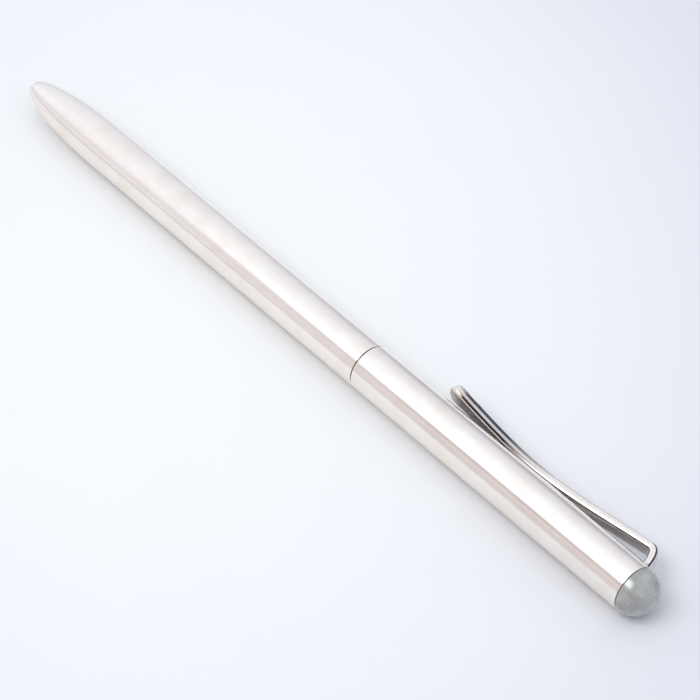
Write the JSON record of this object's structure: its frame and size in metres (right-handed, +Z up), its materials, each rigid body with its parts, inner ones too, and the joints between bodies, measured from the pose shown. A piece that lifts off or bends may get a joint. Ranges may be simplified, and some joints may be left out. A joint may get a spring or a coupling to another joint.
{
  "type": "rollerball pen",
  "caption": "Slim twist-action pen: polished silver barrel in two halves, bent bar clip, domed stone finial, screw-in refill that retracts into a tapered nose.",
  "frame": {"origin": "middle of the underside of the bounding box, on the surface that the pen lies on", "axes": "+X along the pen from the writing end to the dome, +Y the side that the clip stands out to, +Z up"},
  "size_m": [0.1362, 0.0108, 0.0072],
  "materials": {
    "silver": "polished sterling silver",
    "brass": "machined",
    "steel": "bright",
    "black_nylon": "matt",
    "bush_plastic": "matt",
    "rubber": "matt",
    "stone": "satin polish",
    "ink": "wet",
    "ink_grease": "translucent gel"
  },
  "bodies": {
    "lower_half": {"lower_barrel": "silver", "lower_liner": "brass", "nose_bush": "brass"},
    "core": {"coupling_sleeve": "brass", "coupling_o_ring": "rubber", "drag_o_ring": "rubber", "seam_ring": "black_nylon", "guide_tube": "brass", "wave_washer": "steel", "retaining_ring": "steel"},
    "upper_half": {"upper_barrel": "silver", "front_bush": "bush_plastic", "cam_sleeve": "brass", "end_plug": "brass", "clip_root": "silver", "finial_washer": "black_nylon", "finial_stud": "brass", "finial_stone": "stone"},
    "clip": {"clip_arm": "silver"},
    "carriage": {"carriage": "brass", "follower_pin": "steel", "refill_plug": "bush_plastic", "refill_tube": "steel", "ink_column": "ink", "ink_follower": "ink_grease", "refill_nib": "steel"},
    "ball": {"writing_ball": "steel"}
  },
  "joints": [
    {"name": "barrel_release", "type": "slide", "parent": "lower_half", "child": "core", "axis": [1, 0, 0], "range_m": [0, 0.09]},
    {"name": "barrel_twist", "type": "hinge", "parent": "core", "child": "upper_half", "pos_m": [0.01055, -0.00177, 0.0036], "axis": [1, 0, 0], "range_deg": [0, 180]},
    {"name": "refill_advance", "type": "slide", "parent": "core", "child": "carriage", "axis": [-1, 0, 0], "range_m": [0, 0.0055]},
    {"name": "clip_flex", "type": "hinge", "parent": "upper_half", "child": "clip", "pos_m": [0.06067, 0.0047, 0.0036], "axis": [0, 0, -1], "range_deg": [0, 3], "stiffness_Nm_per_rad": 1.2, "springref_deg": -1.15},
    {"name": "ball_roll", "type": "hinge", "parent": "carriage", "child": "ball", "pos_m": [-0.0656, -0.00177, 0.0036], "axis": [0, 1, 0], "continuous": true}
  ],
  "couplings": [
    {"joint": "barrel_twist", "follows": "refill_advance", "rad_per_m": 571.2}
  ]
}
